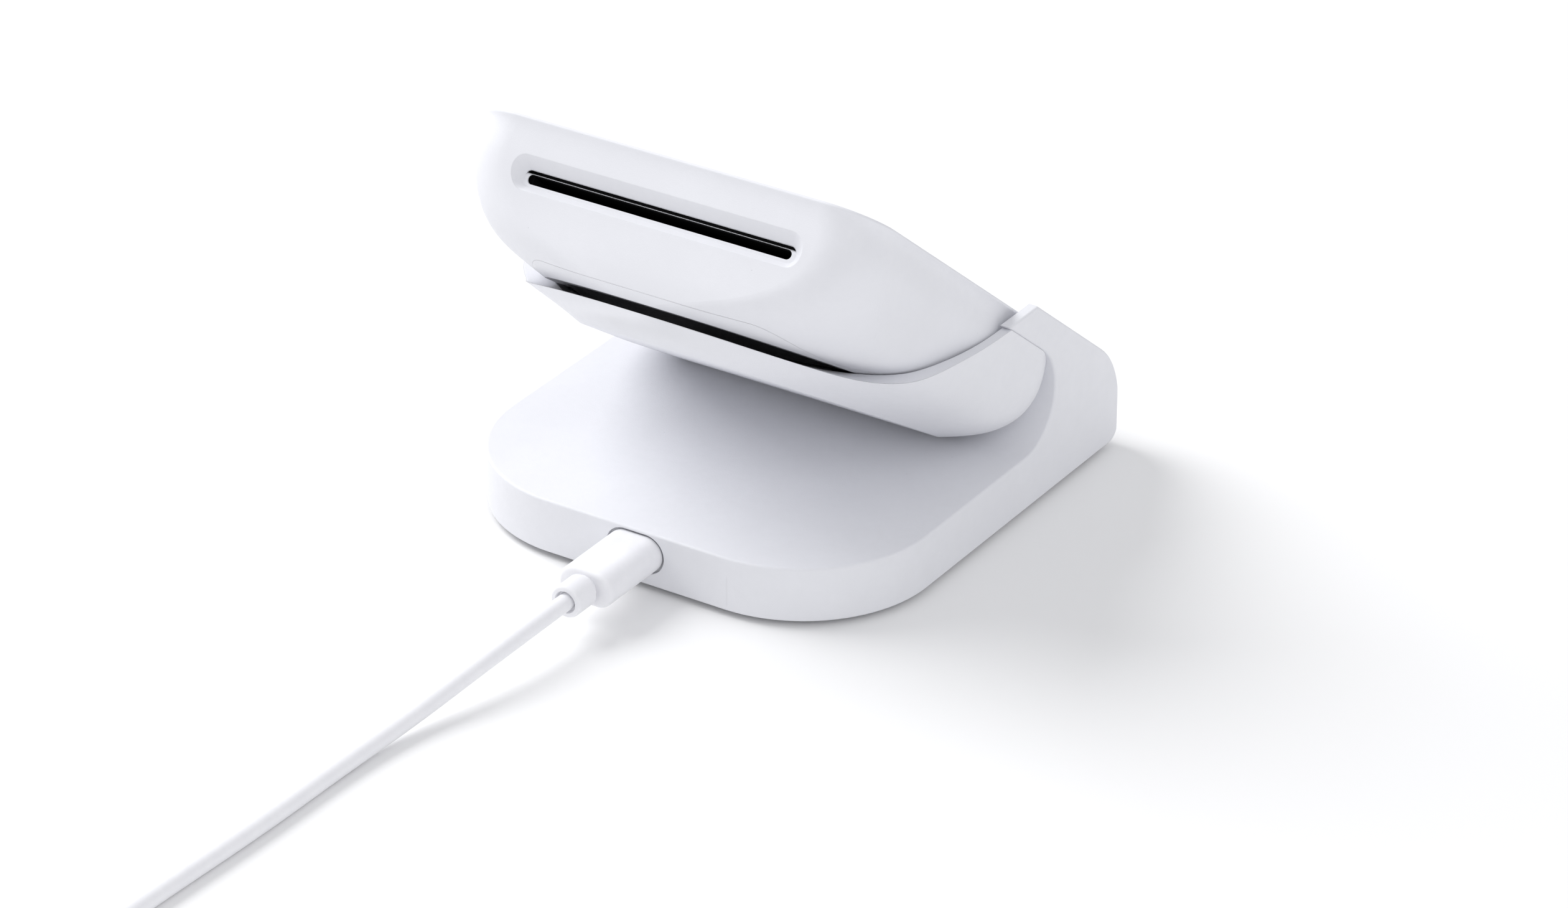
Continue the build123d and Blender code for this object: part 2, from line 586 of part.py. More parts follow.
# sprung fingers, one group: they stand 0.25 into the card's channel
with BuildPart() as card_contacts:
    for x, y in CONTACTS:
        with BuildSketch(Plane(origin=READ.origin + READ.x_dir * (x - 0.5) + READ.y_dir * y - READ.z_dir * (SLOT_DEPTH + 0.3), x_dir=READ.y_dir, z_dir=(1, 0, 0))):
            with BuildLine():
                Polyline((-1.65, -2.7), (1.0, -2.7), (1.35, -2.3), (0.35, -0.1), (0.0, 0.0), (-0.35, -0.1), (-0.6, -0.55), (-0.3, -0.6), (0.0, -0.35), (0.95, -2.3), (0.8, -2.4), (-1.65, -2.4), (-1.65, -2.7))
            make_face()
        extrude(amount=1.0)
card_contacts.part.label = "card_contacts"
export_step(card_contacts.part, "parts/card_contacts.step")

with BuildPart() as main_board:
    with BuildSketch(READ.offset(-15.3)):
        with Locations((0, -30)):
            RectangleRounded(58, 43.5, 2)
        with Locations((-25, -13), (25, -13)):
            Circle(1.1, mode=Mode.SUBTRACT)
    extrude(amount=-1.2)
    with BuildSketch(READ.offset(-15.3)):
        with Locations((-18, -18), (-20, -44), (16, -46), (18, -14)):
            RectangleRounded(6, 6, 0.6)
    extrude(amount=1.2)
    with BuildSketch(READ.offset(-15.3)):
        with Locations((-26, -22), (-26, -25), (-26, -28), (-26, -31), (-9, -48), (-6.5, -48), (-4, -48), (8, -13), (10.5, -13), (4, -49)):
            Rectangle(1.1, 2.0)
    extrude(amount=0.6)
main_board.part.label = "main_board"
export_step(main_board.part, "parts/main_board.step")

with BuildPart() as shield_can:
    with BuildSketch(READ.offset(-15.3)):
        with Locations((-17, -31)):
            RectangleRounded(14, 14, 0.8)
    extrude(amount=1.9)
    with BuildSketch(READ.offset(-15.3)):
        with Locations((-17, -31)):
            Rectangle(13.5, 13.5)
    extrude(amount=1.65, mode=Mode.SUBTRACT)
    with BuildSketch(READ.offset(-15.3 + 1.9)):
        with Locations((-17, -31)):
            with GridLocations(3, 3, 3, 3):
                Circle(0.5)
    extrude(amount=-1, mode=Mode.SUBTRACT)
shield_can.part.label = "shield_can"
export_step(shield_can.part, "parts/shield_can.step")

with BuildPart() as battery:
    with BuildSketch(BASE.offset(2.4)):
        with Locations((0, -29.5)):
            RectangleRounded(30, 17, 2)
    extrude(amount=3.2)
    fillet(battery.faces().filter_by(BASE).edges(), radius=0.9)
battery.part.label = "battery"
export_step(battery.part, "parts/battery.step")

with BuildPart() as nfc_antenna:
    with BuildSketch(READ.offset(-2.3)):
        with Locations((0, -50)):
            RectangleRounded(60, 56, 6)
            RectangleRounded(51, 47, 3, mode=Mode.SUBTRACT)
    extrude(amount=-0.3)
nfc_antenna.part.label = "nfc_antenna"
export_step(nfc_antenna.part, "parts/nfc_antenna.step")

with BuildPart() as ferrite_sheet:
    with BuildSketch(READ.offset(-2.65)):
        with Locations((0, -50)):
            RectangleRounded(61, 57, 6)
    extrude(amount=-0.3)
ferrite_sheet.part.label = "ferrite_sheet"
export_step(ferrite_sheet.part, "parts/ferrite_sheet.step")

with BuildPart() as light_guide:
    with BuildSketch(READ.offset(-0.05)):
        with Locations(*[(x, -14) for x in PIPE_X]):
            Circle(1.0)
    extrude(amount=-4.0)
    with BuildSketch(READ.offset(-2.9)):
        with Locations((0, -14)):
            RectangleRounded(30, 4, 1.2)
    extrude(amount=-1.0)
light_guide.part.label = "light_guide"
export_step(light_guide.part, "parts/light_guide.step")

with BuildPart() as status_leds:
    with BuildSketch(READ.offset(-4.35)):
        with Locations(*[(x, -14) for x in PIPE_X]):
            Rectangle(1.6, 1.6)
    extrude(amount=-0.6)
status_leds.part.label = "status_leds"
export_step(status_leds.part, "parts/status_leds.step")

with BuildPart() as led_board:
    with BuildSketch(READ.offset(-4.95)):
        with Locations((0, -14)):
            RectangleRounded(34, 6, 1)
    extrude(amount=-0.8)
led_board.part.label = "led_board"
export_step(led_board.part, "parts/led_board.step")

with BuildPart() as buzzer:
    with BuildSketch(BASE.offset(2.1)):
        with Locations((18, -60)):
            Circle(6.0)
    extrude(amount=2.8)
    fillet(buzzer.faces().filter_by(BASE).sort_by(Axis(BASE.origin, BASE.z_dir))[-1].edges(), radius=0.4)
    with BuildSketch(BASE.offset(4.9)):
        with Locations((18, -60)):
            Circle(1.2)
    extrude(amount=-0.8, mode=Mode.SUBTRACT)
buzzer.part.label = "buzzer"
export_step(buzzer.part, "parts/buzzer.step")

with BuildPart() as power_button:
    with BuildSketch(BUTTON.offset(38.3)):
        SlotOverall(10.0, 3.2)
    extrude(amount=3.8)
    fillet(power_button.faces().sort_by(Axis.X)[-1].edges(), radius=0.4)
    with BuildSketch(BUTTON.offset(37.7)):
        SlotOverall(11.4, 4.0)
    extrude(amount=0.7)
    with BuildSketch(BUTTON.offset(38.3)):
        with Locations((0, -0.05)):
            Rectangle(2.4, 1.6)
    extrude(amount=-6.0)
power_button.part.label = "power_button"
export_step(power_button.part, "parts/power_button.step")

with BuildPart() as button_switch:
    with BuildSketch(READ.offset(-15.3)):
        with Locations((28.6, -30)):
            Rectangle(5.4, 6)
    extrude(amount=2.0)
    with BuildSketch(BUTTON.offset(31.3)):
        with Locations((0, 0)):
            Circle(0.7)
    extrude(amount=0.35)
button_switch.part.label = "button_switch"
export_step(button_switch.part, "parts/button_switch.step")

# ------------------------------------------------------------------ charging lead
PLUG = Plane(origin=(0, 46.5, PLUG_Z), x_dir=(-1, 0, 0), z_dir=(0, 1, 0))
with BuildPart() as plug_tip:
    with BuildSketch(PLUG.offset(-5.5)):
        SlotOverall(8.34, 2.56)
    extrude(amount=7.5)
    with BuildSketch(PLUG.offset(-5.6)):
        SlotOverall(7.74, 1.96)
    extrude(amount=6.4, mode=Mode.SUBTRACT)
plug_tip.part.label = "plug_tip"
export_step(plug_tip.part, "parts/plug_tip.step")

with BuildPart() as plug_body:
    with BuildSketch(PLUG):
        SlotOverall(PLUG_W, PLUG_H)
    extrude(amount=PLUG_L + 1.2)
    fillet(plug_body.faces().sort_by(Axis.Y)[-1].edges(), radius=0.9)
    fillet(plug_body.faces().sort_by(Axis.Y)[0].edges(), radius=0.4)
    with BuildSketch(PLUG):
        SlotOverall(8.34, 2.56)
    extrude(amount=2.0, mode=Mode.SUBTRACT)
plug_body.part.label = "plug_body"
export_step(plug_body.part, "parts/plug_body.step")

NECK_Y = 46.5 + PLUG_L + 1.2
with BuildPart() as strain_relief:
    with BuildSketch(Plane.YZ):
        with BuildLine():
            Polyline((NECK_Y, PLUG_Z + 1.6), (NECK_Y, PLUG_Z + 2.6), (NECK_Y + 0.7, PLUG_Z + 2.6))
            Line((NECK_Y + 0.7, PLUG_Z + 2.6), (NECK_Y + 0.7, PLUG_Z + 2.85))
            ThreePointArc((NECK_Y + 0.7, PLUG_Z + 2.85), (NECK_Y + 0.79, PLUG_Z + 3.06), (NECK_Y + 1.0, PLUG_Z + 3.15))
            Line((NECK_Y + 1.0, PLUG_Z + 3.15), (NECK_Y + 5.6, PLUG_Z + 3.15))
            ThreePointArc((NECK_Y + 5.6, PLUG_Z + 3.15), (NECK_Y + 5.95, PLUG_Z + 3.0), (NECK_Y + 6.1, PLUG_Z + 2.65))
            Polyline((NECK_Y + 6.1, PLUG_Z + 2.65), (NECK_Y + 6.1, PLUG_Z + 2.15), (NECK_Y + 5.3, PLUG_Z + 1.95), (NECK_Y + 5.3, PLUG_Z + 1.6), (NECK_Y, PLUG_Z + 1.6))
        make_face()
    revolve(axis=Axis((0, 0, PLUG_Z), (0, 1, 0)))
strain_relief.part.label = "strain_relief"
export_step(strain_relief.part, "parts/strain_relief.step")

# route of the free lead: out of the strain relief, down onto the counter, along it, into a stored coil
COIL_X, COIL_Y = -14.6, 224.0
TURN_R = (23.45, 20.2, 16.95, 13.7)
LAYER_Z = (2.0, 5.3)
LEAD = [
    (0, NECK_Y, PLUG_Z), (0, 78.0, PLUG_Z), (1.9, 93.5, 5.5), (4.7, 109.5, 2.4),
    (6.1, 127.0, 1.62), (6.3, 150.0, 1.63), (7.7, 175.0, 1.62), (8.5, 200.0, 1.66), (COIL_X + TURN_R[0], 221.5, 1.95),
]
TAIL = [(COIL_X + TURN_R[0], 227.0, LAYER_Z[1]), (8.95, 237.0, 4.9), (9.6, 246.0, 4.25), (10.2, 256.0, 4.1)]


def tube_radii(points):
    vectors = [Vector(*p) for p in points]
    radii = []
    for a, b, c in zip(vectors, vectors[1:], vectors[2:]):
        turn = (b - a).get_angle(c - b)
        shorter = min((b - a).length, (c - b).length)
        radii.append(0.45 * shorter / math.tan(math.radians(turn / 2)))
    return radii


with BuildPart() as lead_cable:
    with BuildLine() as lead_line:
        FilletPolyline(*LEAD, radius=tube_radii(LEAD))
    with BuildSketch(Plane(origin=LEAD[0], x_dir=(1, 0, 0), z_dir=(0, 1, 0))):
        Circle(CABLE_D / 2)
    sweep()
lead_cable.part.label = "lead_cable"
export_step(lead_cable.part, "parts/lead_cable.step")

with BuildPart() as lead_tail:
    with BuildLine() as tail_line:
        FilletPolyline(*TAIL, radius=tube_radii(TAIL))
    with BuildSketch(Plane(origin=TAIL[0], z_dir=tail_line.line % 0)):
        Circle(CABLE_D / 2)
    sweep()
lead_tail.part.label = "lead_tail"
export_step(lead_tail.part, "parts/lead_tail.step")

with BuildPart() as lead_coil:
    with BuildSketch(Plane.XZ.offset(-COIL_Y)):
        with Locations((COIL_X + (TURN_R[0] + TURN_R[-1]) / 2, (LAYER_Z[0] + LAYER_Z[1]) / 2)):
            RectangleRounded(TURN_R[0] - TURN_R[-1] + CABLE_D, LAYER_Z[1] - LAYER_Z[0] + CABLE_D, CABLE_D / 2 - 0.01)
    revolve(axis=Axis((COIL_X, COIL_Y, 0), (0, 0, 1)))
lead_coil.part.label = "lead_coil"
export_step(lead_coil.part, "parts/lead_coil.step")

TIE_X = COIL_X - (TURN_R[0] + TURN_R[-1]) / 2
with BuildPart() as cable_tie:
    with BuildSketch(Plane.XZ.offset(-COIL_Y + 3)):
        with Locations((TIE_X + 0.15, (LAYER_Z[0] + LAYER_Z[1]) / 2)):
            RectangleRounded(TURN_R[0] - TURN_R[-1] + CABLE_D + 1.7, LAYER_Z[1] - LAYER_Z[0] + CABLE_D + 0.72, 2.0)
            RectangleRounded(TURN_R[0] - TURN_R[-1] + CABLE_D + 1.0, LAYER_Z[1] - LAYER_Z[0] + CABLE_D + 0.04, 1.6, mode=Mode.SUBTRACT)
    extrude(amount=-6)
cable_tie.part.label = "cable_tie"
export_step(cable_tie.part, "parts/cable_tie.step")

FAR = Plane(origin=(10.2, 254.0, 4.15), x_dir=(-1, 0, 0), z_dir=(0, 1, 0))
with BuildPart() as usb_body:
    with BuildSketch(FAR.offset(5)):
        RectangleRounded(15.6, 8.0, 2.2)
    extrude(amount=18)
    fillet(usb_body.faces().sort_by(Axis.Y)[-1].edges(), radius=0.8)
    with BuildSketch(FAR):
        Circle(2.7)
    with BuildSketch(FAR.offset(5)):
        Circle(3.2)
    loft()
    with BuildSketch(FAR):
        Circle(CABLE_D / 2)
    extrude(amount=2.0, mode=Mode.SUBTRACT)
    with BuildSketch(FAR.offset(23)):
        Rectangle(12.0, 4.5)
    extrude(amount=-3, mode=Mode.SUBTRACT)
usb_body.part.label = "usb_body"
export_step(usb_body.part, "parts/usb_body.step")

with BuildPart() as usb_shell:
    with BuildSketch(FAR.offset(20)):
        Rectangle(12.0, 4.5)
        Rectangle(11.3, 3.8, mode=Mode.SUBTRACT)
    extrude(amount=15)
    with BuildSketch(Plane.XY.offset(8)):
        with Locations((10.2 - 2.9, 254 + 29), (10.2 + 2.9, 254 + 29)):
            Rectangle(2.2, 2.0)
    extrude(amount=-3, mode=Mode.SUBTRACT)
usb_shell.part.label = "usb_shell"
export_step(usb_shell.part, "parts/usb_shell.step")

with BuildPart() as usb_insert:
    with BuildSketch(FAR.offset(20)):
        Rectangle(11.3, 3.8)
    extrude(amount=5)
    with BuildSketch(FAR.offset(24)):
        with Locations((0, -0.95)):
            Rectangle(11.3, 1.9)
    extrude(amount=10.4)
    with BuildSketch(FAR.offset(27)):
        with Locations((-3.5, 0), (-1.2, 0), (1.2, 0), (3.5, 0)):
            Rectangle(1.0, 0.3)
    extrude(amount=6.5, mode=Mode.SUBTRACT)
usb_insert.part.label = "usb_insert"
export_step(usb_insert.part, "parts/usb_insert.step")

lead_length = sum(e.length for e in lead_line.edges())
tail_length = sum(e.length for e in tail_line.edges())
print("cable radii", [round(r) for r in tube_radii(LEAD)], [round(r) for r in tube_radii(TAIL)])
print("tube volume over section", lead_cable.part.volume / (math.pi * CABLE_D**2 / 4), "against length", lead_length)
print("tail volume over section", lead_tail.part.volume / (math.pi * CABLE_D**2 / 4), "against length", tail_length)
turns_length = 2 * math.pi * sum(TURN_R) / 4 * 7        # seven turns: four below, three above
print("coil", turns_length, "lead in all", lead_length + turns_length + tail_length)
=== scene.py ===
import math

import bmesh
import bpy
from mathutils import Matrix, Vector


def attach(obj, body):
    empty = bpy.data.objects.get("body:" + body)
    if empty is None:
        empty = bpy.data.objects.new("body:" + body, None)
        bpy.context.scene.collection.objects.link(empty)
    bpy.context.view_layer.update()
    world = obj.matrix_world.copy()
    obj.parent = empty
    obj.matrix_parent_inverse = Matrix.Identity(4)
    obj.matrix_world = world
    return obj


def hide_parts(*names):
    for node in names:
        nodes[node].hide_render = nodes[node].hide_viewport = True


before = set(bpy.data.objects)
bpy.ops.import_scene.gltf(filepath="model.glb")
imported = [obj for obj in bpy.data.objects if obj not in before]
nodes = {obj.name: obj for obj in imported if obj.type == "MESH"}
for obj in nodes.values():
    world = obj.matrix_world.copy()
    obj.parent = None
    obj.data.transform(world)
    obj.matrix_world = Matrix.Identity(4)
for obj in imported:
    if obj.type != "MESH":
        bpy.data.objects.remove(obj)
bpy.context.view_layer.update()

MM = 0.001
scene = bpy.context.scene


# ------------------------------------------------------------------ camera
def make_camera():
    azimuth, elevation = math.radians(212.96), math.radians(28.78)
    back = Vector((math.sin(azimuth) * math.cos(elevation), -math.cos(azimuth) * math.cos(elevation), math.sin(elevation)))
    right = Vector((math.cos(azimuth), math.sin(azimuth), 0))
    up = back.cross(right)
    data = bpy.data.cameras.new("studio_camera")
    data.sensor_width = 36.0
    data.sensor_fit = "HORIZONTAL"
    data.lens = 142.816
    data.clip_start, data.clip_end = 0.05, 50.0
    camera = bpy.data.objects.new("studio_camera", data)
    scene.collection.objects.link(camera)
    place = Vector((-1.26, 0.0, 5.91)) * MM + back * 1.14683
    turn = Matrix((right, up, back)).transposed().to_4x4()
    camera.matrix_world = Matrix.Translation(place) @ turn
    scene.camera = camera


make_camera()

# ------------------------------------------------------------------ charging lead
CABLE_D = 3.2
COIL_X, COIL_Y = -14.6, 224.0
TURN_R = (23.45, 20.2, 16.95, 13.7)
LOW, HIGH = 2.0, 5.3
LEAD = [
    (0, 62.9, 7.5), (0, 78.0, 7.5), (1.9, 93.5, 5.5), (4.7, 109.5, 2.4),
    (6.1, 127.0, 1.62), (6.3, 150.0, 1.63), (7.7, 175.0, 1.62), (8.5, 200.0, 1.66), (8.85, 221.5, 1.95),
]
TAIL = [(8.85, 227.0, 5.3), (8.95, 237.0, 4.9), (9.6, 246.0, 4.25), (10.2, 256.0, 4.1)]
STEPS = 16


def coil_points():
    """Control points of the stored coil: four turns inward on the counter, up, then outward on top."""
    points = []
    total = 7 * STEPS
    for i in range(total):
        turns = (i + 0.5) / STEPS
        whole, part = int(turns), (turns - int(turns)) * 360.0
        if turns < 3.0:
            ease = min(1.0, max(0.0, (part - 290.0) / 70.0))
            radius = TURN_R[whole] + (TURN_R[whole + 1] - TURN_R[whole]) * ease
            height = LOW
        elif turns < 4.0:
            ease = min(1.0, max(0.0, (part - 215.0) / 60.0))
            radius, height = TURN_R[3], LOW + (HIGH - LOW) * ease
        else:
            lap = whole - 4
            ease = min(1.0, max(0.0, (part - 150.0) / 60.0))
            here, there = TURN_R[3 - lap], TURN_R[2 - lap]
            radius, height = here + (there - here) * ease, HIGH
        wide = radius / math.cos(math.pi / STEPS)
        angle = 2 * math.pi * turns
        points.append((COIL_X + wide * math.cos(angle), COIL_Y + wide * math.sin(angle), height))
    return points


def make_lead():
    data = bpy.data.curves.new("charging_lead", "CURVE")
    data.dimensions = "3D"
    data.resolution_u = 10
    data.bevel_depth = 1.0
    data.bevel_resolution = 7
    data.use_fill_caps = True
    spline = data.splines.new("NURBS")
    points = LEAD + coil_points() + TAIL
    spline.points.add(len(points) - 1)
    for point, at in zip(spline.points, points):
        point.co = (at[0] * MM, at[1] * MM, at[2] * MM, 1.0)
        point.radius = CABLE_D / 2 * MM
    spline.order_u = 3
    spline.use_endpoint_u = True
    lead = bpy.data.objects.new("charging_lead", data)
    scene.collection.objects.link(lead)
    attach(lead, "lead")
    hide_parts("lead_cable", "lead_coil", "lead_tail")
    return lead


lead = make_lead()


# ------------------------------------------------------------------ materials
class Finish:
    """One node material, in the row frame's own metres."""

    def __init__(self, name):
        self.material = bpy.data.materials.new(name)
        self.material.use_nodes = True
        self.tree = self.material.node_tree
        self.tree.nodes.clear()
        self.out = self.make("OutputMaterial")
        self.body = self.make("BsdfPrincipled")
        self.link(self.body.outputs[0], self.out.inputs[0])
        self.at = self.make("TexCoord").outputs["Object"]

    def make(self, kind, **settings):
        node = self.tree.nodes.new("ShaderNode" + kind)
        for key, value in settings.items():
            setattr(node, key, value)
        return node

    def link(self, a, b):
        self.tree.links.new(a, b)

    def put(self, socket, value):
        if isinstance(value, bpy.types.NodeSocket):
            self.link(value, socket)
        else:
            socket.default_value = value

    def stretch(self, scale=(1, 1, 1), turn=(0, 0, 0), at=None):
        node = self.make("Mapping")
        self.link(at or self.at, node.inputs["Vector"])
        node.inputs["Scale"].default_value = scale
        node.inputs["Rotation"].default_value = [math.radians(v) for v in turn]
        return node.outputs[0]

    def noise(self, size_mm, detail=2.0, rough=0.5, at=None):
        node = self.make("TexNoise")
        self.link(at or self.at, node.inputs["Vector"])
        node.inputs["Scale"].default_value = 1000.0 / size_mm
        node.inputs["Detail"].default_value = detail
        node.inputs["Roughness"].default_value = rough
        return node.outputs["Fac"]

    def cells(self, size_mm, feature="F1", output="Distance", at=None):
        node = self.make("TexVoronoi", feature=feature)
        self.link(at or self.at, node.inputs["Vector"])
        node.inputs["Scale"].default_value = 1000.0 / size_mm
        return node.outputs[output]

    def waves(self, size_mm, distort=0.0, at=None, direction="X", profile="SIN"):
        node = self.make("TexWave", bands_direction=direction, wave_profile=profile)
        self.link(at or self.at, node.inputs["Vector"])
        node.inputs["Scale"].default_value = 1000.0 / size_mm * math.pi / 10 / math.pi * 1.0
        node.inputs["Distortion"].default_value = distort
        return node.outputs["Fac"]

    def map(self, value, a, b, c, d):
        node = self.make("MapRange")
        self.put(node.inputs["Value"], value)
        for name, number in zip(("From Min", "From Max", "To Min", "To Max"), (a, b, c, d)):
            node.inputs[name].default_value = number
        return node.outputs["Result"]

    def sum(self, a, b, operation="ADD", clamp=False):
        node = self.make("Math", operation=operation, use_clamp=clamp)
        self.put(node.inputs[0], a)
        self.put(node.inputs[1], b)
        return node.outputs[0]

    def blend(self, amount, a, b):
        node = self.make("Mix", data_type="RGBA")
        self.put(node.inputs[0], amount)
        for socket, value in ((node.inputs[6], a), (node.inputs[7], b)):
            self.put(socket, value if isinstance(value, bpy.types.NodeSocket) else (*value, 1.0))
        return node.outputs[2]

    def edges(self, radius_mm):
        """1 on outer edges of about that radius, 0 on flats."""
        bevel = self.make("Bevel", samples=4)
        bevel.inputs["Radius"].default_value = radius_mm * MM
        geometry = self.make("NewGeometry")
        dot = self.make("VectorMath", operation="DOT_PRODUCT")
        self.link(bevel.outputs[0], dot.inputs[0])
        self.link(geometry.outputs["Normal"], dot.inputs[1])
        return self.map(dot.outputs["Value"], 0.995, 0.9, 0.0, 1.0)

    def bump(self, *layers, normal=None):
        """Layers of (height, depth in mm), finest last."""
        last = normal
        for height, depth in layers:
            node = self.make("Bump")
            node.inputs["Strength"].default_value = 1.0
            node.inputs["Distance"].default_value = depth * MM
            self.link(height, node.inputs["Height"])
            if last is not None:
                self.link(last, node.inputs["Normal"])
            last = node.outputs[0]
        self.link(last, self.body.inputs["Normal"])

    def set(self, **values):
        for key, value in values.items():
            name = {"colour": "Base Color", "rough": "Roughness", "metal": "Metallic", "gloss": "Specular IOR Level",
                    "coat": "Coat Weight", "coat_rough": "Coat Roughness", "sheen": "Sheen Weight",
                    "through": "Transmission Weight", "ior": "IOR", "skin": "Subsurface Weight",
                    "aniso": "Anisotropic"}[key]
            if key == "colour" and not isinstance(value, bpy.types.NodeSocket):
                value = (*value, 1.0)
            self.put(self.body.inputs[name], value)
        return self.material


def soft_round(finish, radius_mm):
    bevel = finish.make("Bevel", samples=4)
    bevel.inputs["Radius"].default_value = radius_mm * MM
    return bevel.outputs[0]


def moulded(name, colour, rough, grain, depth, gloss=0.4, edge=0.35, tone=0.03, specks=True, under=None, seam=None):
    """Spark-textured moulding: fine grain, faint flow clouding, worn smoother outer edges that also carry a painted
    highlight (a lighter tint), a few specks.

    under is (point, normal, colour): below that plane the part is painted in that colour, a painted shade standing in
    for the dark gap between reader and cradle.
    seam is (x, y, low z, high z) of a faint upright parting line of the tool, in mm.
    """
    f = Finish(name)
    cloud = f.noise(26.0, 3.0, 0.55)
    fine = f.noise(1.7, 2.0)
    darker = tuple(c * (1 - tone) for c in colour)
    lighter = tuple(min(1.0, c * (1 + tone * 0.6)) for c in colour)
    tint = f.blend(f.map(cloud, 0.3, 0.7, 0.0, 1.0), darker, lighter)
    tint = f.blend(f.map(fine, 0.35, 0.75, 0.0, 0.35), tint, darker)
    edge_band = f.edges(edge)
    edge_rub_and_highlight = f.sum(edge_band, f.map(f.noise(2.6, 3.0), 0.4, 0.6, 0.15, 1.0), "MULTIPLY", True)
    # painted highlight: outer edges are tinted lighter; the same edge mask also lowers roughness where edges are worn
    # smooth
    tint = f.blend(f.sum(edge_rub_and_highlight, 0.35, "MULTIPLY"), tint, tuple(min(1.0, c * 1.05) for c in colour))
    if specks:
        dot = f.map(f.cells(5.5), 0.014, 0.020, 1.0, 0.0)
        tint = f.blend(f.sum(dot, 0.35, "MULTIPLY"), tint, tuple(c * 0.45 for c in colour))
    if under:
        point, normal, gap_shade_colour = under
        level = f.make("VectorMath", operation="DOT_PRODUCT")
        f.link(f.at, level.inputs[0])
        level.inputs[1].default_value = normal
        edge_at = sum(p * n for p, n in zip(point, normal)) * MM
        # painted shade: below the plane the part turns near-black, standing in for the shaded gap
        tint = f.blend(f.map(level.outputs["Value"], edge_at - 0.05 * MM, edge_at + 0.05 * MM, 1.0, 0.0), tint, gap_shade_colour)
    if seam:
        x, y, low, high = seam
        split = f.make("SeparateXYZ")
        f.link(f.at, split.inputs[0])
        off = f.sum(f.sum(split.outputs[0], x * MM, "SUBTRACT"), 0.0, "ABSOLUTE")
        line = f.map(off, 0.10 * MM, 0.22 * MM, 1.0, 0.0)
        line = f.sum(line, f.map(split.outputs[1], y * MM, (y + 0.5) * MM, 0.0, 1.0), "MULTIPLY")
        line = f.sum(line, f.map(split.outputs[2], low * MM, (low + 0.6) * MM, 0.0, 1.0), "MULTIPLY")
        line = f.sum(line, f.map(split.outputs[2], (high - 0.6) * MM, high * MM, 1.0, 0.0), "MULTIPLY")
        tint = f.blend(f.sum(line, 0.12, "MULTIPLY"), tint, tuple(c * 0.6 for c in colour))
    shine = f.map(fine, 0.3, 0.7, rough - 0.05, rough + 0.05)
    shine = f.sum(shine, f.sum(edge_rub_and_highlight, -0.12, "MULTIPLY"), "ADD", True)
    f.bump((f.noise(14.0, 1.0), 0.012), (f.noise(grain * 3.2, 2.0), depth * 0.7), (f.cells(grain), depth),
           normal=soft_round(f, edge * 0.7))
    return f.set(colour=tint, rough=shine, gloss=gloss)


def rubbery(name, colour, rough, grain, depth, tone=0.06):
    f = Finish(name)
    dust = f.noise(3.0, 5.0, 0.65)
    tint = f.blend(f.map(dust, 0.35, 0.75, 0.0, 1.0), colour, tuple(c + (1 - c) * tone for c in colour))
    shine = f.map(f.noise(0.9, 3.0), 0.3, 0.7, rough - 0.08, rough + 0.08)
    f.bump((f.noise(6.0, 2.0), 0.02), (f.cells(grain), depth), normal=soft_round(f, 0.15))
    return f.set(colour=tint, rough=shine, gloss=0.25, sheen=0.08)


def metal(name, colour, rough, grain, direction=(1, 30, 30), dull=0.25):
    """Plated or drawn metal: fine directional scratches, handling marks."""
    f = Finish(name)
    lines = f.noise(grain, 4.0, 0.6, at=f.stretch(direction))
    marks = f.noise(4.0, 4.0, 0.6)
    tint = f.blend(f.map(marks, 0.35, 0.7, 0.0, dull), colour, tuple(c * 0.6 for c in colour))
    shine = f.sum(f.map(lines, 0.3, 0.7, rough - 0.08, rough + 0.1), f.map(marks, 0.4, 0.7, 0.0, 0.12), "ADD", True)
    f.bump((marks, 0.004), (lines, 0.003), normal=soft_round(f, 0.06))
    return f.set(colour=tint, rough=shine, metal=1.0)


def board(name, colour, turn=(0, 0, 0)):
    """Solder mask over etched tracks and the laminate's weave."""
    f = Finish(name)
    flat = f.stretch((1, 1, 1), turn)
    tracks = f.make("TexBrick")
    f.link(flat, tracks.inputs["Vector"])
    tracks.inputs["Scale"].default_value = 260.0
    tracks.inputs["Mortar Size"].default_value = 0.06
    tracks.inputs["Brick Width"].default_value = 1.7
    tracks.inputs["Row Height"].default_value = 0.42
    weave = f.sum(f.waves(0.5, 1.0, flat, "X"), f.waves(0.5, 1.0, flat, "Y"), "MULTIPLY")
    lit = tuple(min(1.0, c * 1.9 + 0.03) for c in colour)
    tint = f.blend(tracks.outputs["Fac"], colour, lit)
    tint = f.blend(f.map(weave, 0.0, 1.0, 0.0, 0.25), tint, tuple(c * 0.6 for c in colour))
    pad = f.map(f.cells(3.1, at=flat), 0.10, 0.12, 1.0, 0.0)
    tint = f.blend(pad, tint, (0.72, 0.62, 0.34))
    f.bump((tracks.outputs["Fac"], 0.03), (weave, 0.006))
    return f.set(colour=tint, rough=f.map(f.noise(2.0, 3.0), 0.3, 0.7, 0.22, 0.38), gloss=0.5, coat=0.3)


def film(name, colour, band, turn=(0, 0, 0), band_colour=(0.75, 0.45, 0.2)):
    """Clear film over printed or etched conductors."""
    f = Finish(name)
    stripes = f.map(f.waves(band, 0.0, f.stretch((1, 1, 1), turn), "X"), 0.45, 0.55, 0.0, 1.0)
    tint = f.blend(stripes, colour, band_colour)
    tint = f.blend(f.map(f.noise(2.0, 4.0), 0.4, 0.8, 0.0, 0.4), tint, tuple(c * 0.6 for c in colour))
    f.bump((f.noise(3.0, 2.0), 0.02), (stripes, 0.02))
    return f.set(colour=tint, rough=f.map(f.noise(1.0, 2.0), 0.3, 0.7, 0.18, 0.34), coat=0.5)


